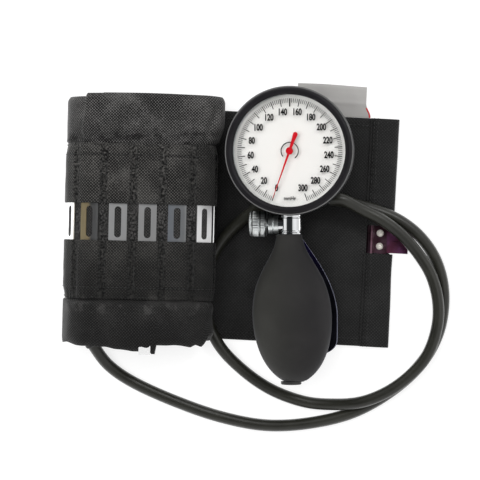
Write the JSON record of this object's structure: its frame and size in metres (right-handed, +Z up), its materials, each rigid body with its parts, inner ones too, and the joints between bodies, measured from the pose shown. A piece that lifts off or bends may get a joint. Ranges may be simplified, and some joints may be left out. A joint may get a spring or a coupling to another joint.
{
  "type": "aneroid sphygmomanometer",
  "caption": "Round dial gauge on a squeeze bulb with a fluted release valve and palm spoon, with a looped hose to a rolled cloth arm cuff closed by a hook and slotted plates.",
  "frame": {"origin": "on the table under the middle of the set, measured without the hose", "axes": "+Z up from the table to the dial, +Y along the bulb towards the gauge, +X from the rolled cuff towards the hook"},
  "size_m": [0.2144, 0.1957, 0.0494],
  "materials": {
    "case_black": "satin black enamel",
    "lens_clear": "clear, polished",
    "spacer_white": "matt white",
    "dial_white": "matt white with printed black scale",
    "pointer_red": "matt red paint",
    "movement_brass": "machined",
    "valve_chrome": "polished plate",
    "shaft_steel": "turned",
    "seal_rubber": "matt black",
    "bulb_rubber": "matt black, smooth moulded",
    "hose_rubber": "satin olive black",
    "spoon_black": "gloss black enamel",
    "cuff_cloth": "woven twill, charcoal black",
    "bladder_rubber": "matt",
    "plate_steel": "stamped, plated",
    "hook_steel": "dark polished plate",
    "label_grey": "satin ribbon, blank",
    "label_white": "woven ribbon, blank"
  },
  "bodies": {
    "set": {"gauge_case": "case_black", "bezel_ring": "case_black", "lens": "lens_clear", "lens_gasket": "seal_rubber", "dial_spacer": "spacer_white", "dial_plate": "dial_white", "hairspring": "movement_brass", "movement_base": "movement_brass", "movement_top": "movement_brass", "movement_pillars": "movement_brass", "movement_posts": "movement_brass", "aneroid_capsule": "movement_brass", "hose_nipple": "valve_chrome", "valve_body": "valve_chrome", "gland_nut": "valve_chrome", "spindle_seal": "seal_rubber", "outlet_valve_cage": "movement_brass", "bulb": "bulb_rubber", "inlet_valve_body": "shaft_steel", "inlet_valve_cage": "movement_brass", "palm_spoon": "spoon_black", "spoon_screw": "shaft_steel", "hose": "hose_rubber", "bladder_stem": "bladder_rubber", "bladder": "bladder_rubber", "cuff_core": "cuff_cloth", "cuff_roll": "cuff_cloth", "upper_channel_band": "cuff_cloth", "lower_channel_band": "cuff_cloth", "cuff_flap": "cuff_cloth", "flap_hem_upper": "cuff_cloth", "flap_hem_lower": "cuff_cloth", "stay_bar": "shaft_steel", "size_label": "label_grey", "care_label": "label_white", "slot_plate_1": "plate_steel", "slot_plate_2": "plate_steel", "slot_plate_3": "plate_steel", "slot_plate_4": "plate_steel", "slot_plate_5": "plate_steel", "slot_plate_6": "plate_steel", "slot_plate_7": "plate_steel"},
    "pointer_arbor": {"pointer": "pointer_red", "pinion_arbor": "movement_brass"},
    "sector": {"sector_gear": "movement_brass"},
    "rocker": {"rocker_shaft": "shaft_steel"},
    "pad": {"capsule_pad": "movement_brass"},
    "needle": {"valve_needle": "shaft_steel"},
    "knob": {"release_knob": "valve_chrome", "valve_spindle": "shaft_steel"},
    "inlet_ball": {"inlet_valve_ball": "shaft_steel"},
    "outlet_disc": {"outlet_valve_disc": "seal_rubber"},
    "hook": {"hook_strap": "hook_steel", "hook_plate": "hook_steel", "hook_rivets": "plate_steel"}
  },
  "joints": [
    {"name": "sector_swing", "type": "hinge", "parent": "set", "child": "sector", "pos_m": [0.01334, 0.0429, 0.0261], "axis": [-0.1045, 0, 0.9945], "range_deg": [0, 26.75]},
    {"name": "pointer_turn", "type": "hinge", "parent": "set", "child": "pointer_arbor", "pos_m": [0.0295, 0.0429, 0.0278], "axis": [-0.1045, 0, 0.9945], "range_deg": [-321, 0]},
    {"name": "rocker_rock", "type": "hinge", "parent": "set", "child": "rocker", "pos_m": [0.03067, 0.0475, 0.02229], "axis": [0.9945, 0, 0.1045], "range_deg": [-16.8, 0]},
    {"name": "capsule_rise", "type": "slide", "parent": "set", "child": "pad", "axis": [-0.1045, 0, 0.9945], "range_m": [0, 0.0011], "stiffness_N_per_m": 0.1, "springref_m": 0.0111},
    {"name": "needle_slide", "type": "slide", "parent": "set", "child": "needle", "axis": [-0.9945, 0, -0.1045], "range_m": [0, 0.00075]},
    {"name": "knob_turn", "type": "hinge", "parent": "needle", "child": "knob", "pos_m": [0.0116, 0.0037, 0.02592], "axis": [-0.9945, 0, -0.1045], "range_deg": [0, 540]},
    {"name": "inlet_ball_lift", "type": "slide", "parent": "set", "child": "inlet_ball", "axis": [0, 1, 0], "range_m": [0, 0.0008]},
    {"name": "outlet_disc_lift", "type": "slide", "parent": "set", "child": "outlet_disc", "axis": [0, 1, 0], "range_m": [0, 0.0008]},
    {"name": "hook_swing", "type": "hinge", "parent": "set", "child": "hook", "pos_m": [0.07442, -0.00467, 0.0023], "axis": [-0.0523, -0.9986, 0], "range_deg": [0, 4]}
  ],
  "couplings": [
    {"joint": "pointer_turn", "follows": "sector_swing", "ratio": -12},
    {"joint": "rocker_rock", "follows": "sector_swing", "ratio": -0.628},
    {"joint": "capsule_rise", "follows": "sector_swing", "m_per_rad": 0.002356},
    {"joint": "needle_slide", "follows": "knob_turn", "m_per_rad": 0.000079577}
  ]
}
